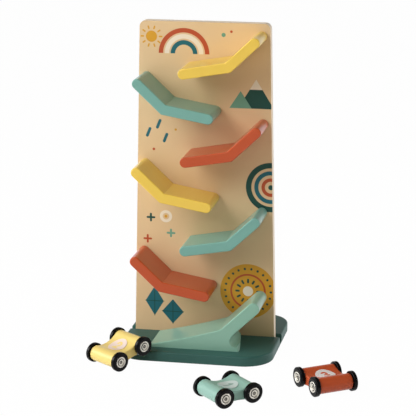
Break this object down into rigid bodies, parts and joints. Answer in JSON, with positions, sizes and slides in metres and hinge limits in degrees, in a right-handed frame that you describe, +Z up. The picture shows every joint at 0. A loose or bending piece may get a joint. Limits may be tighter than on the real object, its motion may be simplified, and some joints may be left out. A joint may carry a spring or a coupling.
{
  "type": "click clack track toy",
  "caption": "Wooden toy tower: a panel on a grooved base carries staggered V ramps down which small cars tumble to an exit ramp.",
  "frame": {"origin": "centre of the base's underside, where the tower stands on the floor", "axes": "+Z up, +X to the viewer's right, the ramps stand out of the panel towards -Y"},
  "size_m": [0.3176, 0.3176, 0.382],
  "materials": {
    "base_paint": "satin dark green paint on board",
    "panel_wood": null,
    "yellow_ramp_paint": "satin yellow paint",
    "mint_ramp_paint": "satin mint paint",
    "red_ramp_paint": "satin red-orange paint",
    "sage_paint": "satin sage paint",
    "screw_steel": "zinc-plated steel",
    "yellow_car_paint": "satin pale yellow paint",
    "mint_car_paint": "satin pale mint paint",
    "red_car_paint": "satin red-orange paint",
    "disc_paint": "off-white label",
    "axle_steel": "plain steel pin",
    "cap_plastic": "cream and silver moulded rings",
    "wheel_plastic": "black moulded plastic"
  },
  "bodies": {
    "tower": {"base": "base_paint", "panel": "panel_wood", "ramp_1": "yellow_ramp_paint", "ramp_2": "mint_ramp_paint", "ramp_3": "red_ramp_paint", "ramp_4": "yellow_ramp_paint", "ramp_5": "mint_ramp_paint", "ramp_6": "red_ramp_paint", "exit_ramp": "sage_paint", "ramp_screws": "screw_steel", "panel_screws": "screw_steel", "exit_ramp_screws": "screw_steel"},
    "yellow_car": {"yellow_car_body": "yellow_car_paint", "yellow_car_disc": "disc_paint"},
    "mint_car": {"mint_car_body": "mint_car_paint", "mint_car_disc": "disc_paint"},
    "red_car": {"red_car_body": "red_car_paint", "red_car_disc": "disc_paint"},
    "yellow_car_front_wheelset": {"yellow_car_front_axle": "axle_steel", "yellow_car_front_hub_caps": "cap_plastic", "yellow_car_wheel_front_left": "wheel_plastic", "yellow_car_wheel_front_right": "wheel_plastic"},
    "yellow_car_rear_wheelset": {"yellow_car_rear_axle": "axle_steel", "yellow_car_rear_hub_caps": "cap_plastic", "yellow_car_wheel_rear_left": "wheel_plastic", "yellow_car_wheel_rear_right": "wheel_plastic"},
    "mint_car_front_wheelset": {"mint_car_front_axle": "axle_steel", "mint_car_front_hub_caps": "cap_plastic", "mint_car_wheel_front_left": "wheel_plastic", "mint_car_wheel_front_right": "wheel_plastic"},
    "mint_car_rear_wheelset": {"mint_car_rear_axle": "axle_steel", "mint_car_rear_hub_caps": "cap_plastic", "mint_car_wheel_rear_left": "wheel_plastic", "mint_car_wheel_rear_right": "wheel_plastic"},
    "red_car_front_wheelset": {"red_car_front_axle": "axle_steel", "red_car_front_hub_caps": "cap_plastic", "red_car_wheel_front_left": "wheel_plastic", "red_car_wheel_front_right": "wheel_plastic"},
    "red_car_rear_wheelset": {"red_car_rear_axle": "axle_steel", "red_car_rear_hub_caps": "cap_plastic", "red_car_wheel_rear_left": "wheel_plastic", "red_car_wheel_rear_right": "wheel_plastic"}
  },
  "joints": [
    {"name": "yellow_car_lift", "type": "slide", "parent": "tower", "child": "yellow_car", "axis": [0, 0, 1], "range_m": [0, 0.06]},
    {"name": "mint_car_roll", "type": "slide", "parent": "tower", "child": "mint_car", "axis": [-0.7431, -0.6691, 0], "range_m": [-0.025, 0.09]},
    {"name": "red_car_roll", "type": "slide", "parent": "tower", "child": "red_car", "axis": [0.592, -0.8059, 0], "range_m": [-0.025, 0.09]},
    {"name": "yellow_car_front_spin", "type": "hinge", "parent": "yellow_car", "child": "yellow_car_front_wheelset", "pos_m": [-0.09204, -0.11197, 0.0112], "axis": [0.7869, -0.617, 0], "continuous": true},
    {"name": "yellow_car_rear_spin", "type": "hinge", "parent": "yellow_car", "child": "yellow_car_rear_wheelset", "pos_m": [-0.07094, -0.08506, 0.02244], "axis": [0.7869, -0.617, 0], "continuous": true},
    {"name": "mint_car_front_spin", "type": "hinge", "parent": "mint_car", "child": "mint_car_front_wheelset", "pos_m": [0.04922, -0.20574, 0.0112], "axis": [0.6691, -0.7431, 0], "continuous": true},
    {"name": "mint_car_rear_spin", "type": "hinge", "parent": "mint_car", "child": "mint_car_rear_wheelset", "pos_m": [0.07598, -0.18166, 0.0112], "axis": [0.6691, -0.7431, 0], "continuous": true},
    {"name": "red_car_front_spin", "type": "hinge", "parent": "red_car", "child": "red_car_front_wheelset", "pos_m": [0.17266, -0.15361, 0.0112], "axis": [0.8059, 0.592, 0], "continuous": true},
    {"name": "red_car_rear_spin", "type": "hinge", "parent": "red_car", "child": "red_car_rear_wheelset", "pos_m": [0.15134, -0.12459, 0.0112], "axis": [0.8059, 0.592, 0], "continuous": true}
  ]
}
